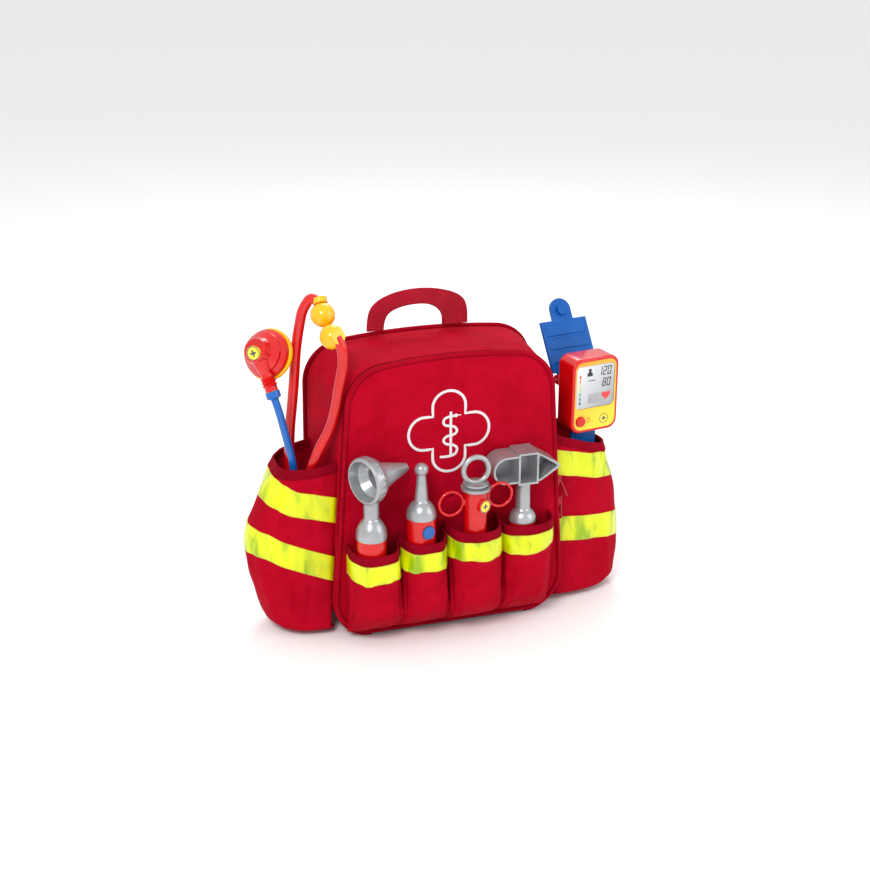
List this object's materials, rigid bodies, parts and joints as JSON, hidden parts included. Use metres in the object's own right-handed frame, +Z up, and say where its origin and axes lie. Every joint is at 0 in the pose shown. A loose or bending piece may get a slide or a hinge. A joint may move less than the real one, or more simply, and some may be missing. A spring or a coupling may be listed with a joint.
{
  "type": "toy backpack",
  "caption": "Child's red toy rescue backpack with zipped front flap, bright reflective pockets and a play stethoscope, otoscope, probe, syringe, hammer and pressure monitor.",
  "frame": {"origin": "Middle of the bag's flat base, halfway between its front and back panels, on the surface it stands on.", "axes": "+X to the right as seen from the front, +Y from the front panel to the back panel, +Z up."},
  "size_m": [0.3729, 0.1742, 0.3188],
  "materials": {
    "red_fabric": "plain woven polyester, slightly glossy",
    "deep_red_fabric": "bound edge of the same cloth, darker",
    "neon_fabric": "fluorescent yellow reflective strip",
    "red_webbing": "ribbed woven webbing",
    "dark_plastic": "moulded",
    "zip_metal": "enamelled zip slider",
    "red_plastic": "glossy moulded plastic",
    "blue_plastic": "glossy moulded plastic",
    "yellow_plastic": "glossy moulded plastic",
    "orange_plastic": "glossy printed bezel",
    "silver_plastic": "silver lacquered plastic",
    "screen_face": "printed screen sticker"
  },
  "bodies": {
    "bag": {"base_panel": "red_fabric", "gusset": "red_fabric", "back_panel": "red_fabric", "back_piping": "deep_red_fabric", "zip_coil": "deep_red_fabric", "zip_end_web_left": "red_fabric", "zip_end_web_right": "red_fabric", "side_pocket_left": "red_fabric", "side_pocket_right": "red_fabric", "side_pocket_hem_left": "deep_red_fabric", "side_pocket_hem_right": "deep_red_fabric", "side_reflector_left": "neon_fabric", "side_reflector_right": "neon_fabric", "shoulder_strap_left": "red_fabric", "shoulder_strap_right": "red_fabric", "strap_webbing_left": "red_webbing", "strap_webbing_right": "red_webbing", "ladder_lock_left": "dark_plastic", "ladder_lock_right": "dark_plastic"},
    "front_flap": {"front_panel": "red_fabric", "front_strip": "red_fabric", "front_piping": "deep_red_fabric", "front_pocket_1": "red_fabric", "front_pocket_2": "red_fabric", "front_pocket_3": "red_fabric", "front_pocket_4": "red_fabric", "front_pocket_hem": "deep_red_fabric", "front_pocket_reflector": "neon_fabric"},
    "upper_slider": {"zip_slider_upper": "zip_metal"},
    "upper_pull": {"zip_pull_upper": "zip_metal"},
    "lower_slider": {"zip_slider_lower": "zip_metal"},
    "lower_pull": {"zip_pull_lower": "zip_metal"},
    "carry_handle": {"grab_handle": "red_webbing"},
    "stethoscope": {"steth_yoke": "red_plastic", "steth_arm_front": "red_plastic", "steth_arm_rear": "red_plastic", "ear_tip_front": "yellow_plastic", "ear_tip_rear": "yellow_plastic", "steth_hose": "blue_plastic"},
    "chest_end": {"chest_piece": "red_plastic", "chest_piece_rim": "yellow_plastic"},
    "otoscope": {"otoscope_handle": "red_plastic", "otoscope_neck": "silver_plastic", "otoscope_head": "silver_plastic"},
    "probe": {"probe_handle": "red_plastic", "probe_tip": "silver_plastic"},
    "probe_key": {"probe_button": "blue_plastic"},
    "syringe": {"syringe_barrel": "red_plastic"},
    "plunger": {"syringe_plunger": "silver_plastic"},
    "hammer": {"hammer_handle": "red_plastic", "hammer_shaft": "silver_plastic", "hammer_head": "silver_plastic"},
    "monitor": {"monitor_case": "red_plastic", "monitor_bezel": "orange_plastic", "monitor_screen": "screen_face", "monitor_strap_pin": "silver_plastic", "monitor_strap_lower": "blue_plastic"},
    "monitor_key": {"monitor_button": "red_plastic"},
    "monitor_cuff": {"monitor_strap_upper": "blue_plastic"}
  },
  "joints": [
    {"name": "front_flap_opening", "type": "hinge", "parent": "bag", "child": "front_flap", "pos_m": [0, -0.046, 0.0055], "axis": [1, 0, 0], "range_deg": [0, 15], "deforming": ["zip_end_web_left", "zip_end_web_right"]},
    {"name": "upper_slider_travel", "type": "slide", "parent": "bag", "child": "upper_slider", "axis": [-0.0625, 0, 0.998], "range_m": [0, 0.08]},
    {"name": "upper_pull_swing", "type": "hinge", "parent": "upper_slider", "child": "upper_pull", "pos_m": [0.11078, -0.039, 0.13071], "axis": [0, -1, 0], "range_deg": [0, 130]},
    {"name": "lower_slider_travel", "type": "slide", "parent": "bag", "child": "lower_slider", "axis": [-0.0625, 0, 0.998], "range_m": [0, 0.009]},
    {"name": "lower_pull_swing", "type": "hinge", "parent": "lower_slider", "child": "lower_pull", "pos_m": [0.11209, -0.039, 0.10971], "axis": [0, -1, 0], "range_deg": [0, 90]},
    {"name": "carry_handle_fold", "type": "hinge", "parent": "bag", "child": "carry_handle", "pos_m": [0, 0.0425, 0.2653], "axis": [1, 0, 0], "range_deg": [-60, 80]},
    {"name": "stethoscope_lift", "type": "slide", "parent": "bag", "child": "stethoscope", "axis": [0, 0, 1], "range_m": [0, 0.15]},
    {"name": "chest_end_swivel", "type": "hinge", "parent": "stethoscope", "child": "chest_end", "pos_m": [-0.1558, -0.009, 0.2371], "axis": [-0.225, 0.3269, 0.9179], "range_deg": [-90, 90]},
    {"name": "otoscope_lift", "type": "slide", "parent": "front_flap", "child": "otoscope", "axis": [0, 0, 1], "range_m": [0, 0.1]},
    {"name": "probe_lift", "type": "slide", "parent": "front_flap", "child": "probe", "axis": [0, 0, 1], "range_m": [0, 0.1]},
    {"name": "probe_key_press", "type": "slide", "parent": "probe", "child": "probe_key", "axis": [-0.2419, 0.9703, 0], "range_m": [0, 0.0015], "stiffness_N_per_m": 300},
    {"name": "syringe_lift", "type": "slide", "parent": "front_flap", "child": "syringe", "axis": [0, 0, 1], "range_m": [0, 0.11]},
    {"name": "plunger_draw", "type": "slide", "parent": "syringe", "child": "plunger", "axis": [0, 0, 1], "range_m": [0, 0.045]},
    {"name": "hammer_lift", "type": "slide", "parent": "front_flap", "child": "hammer", "axis": [0, 0, 1], "range_m": [0, 0.1]},
    {"name": "monitor_lift", "type": "slide", "parent": "bag", "child": "monitor", "axis": [0, 0, 1], "range_m": [0, 0.16]},
    {"name": "monitor_key_press", "type": "slide", "parent": "monitor", "child": "monitor_key", "axis": [-0.1495, 0.9888, 0], "range_m": [0, 0.0012], "stiffness_N_per_m": 300},
    {"name": "monitor_cuff_fold", "type": "hinge", "parent": "monitor", "child": "monitor_cuff", "pos_m": [0.14537, 0.00663, 0.214], "axis": [0.9888, 0.1495, 0], "range_deg": [-60, 28]}
  ]
}
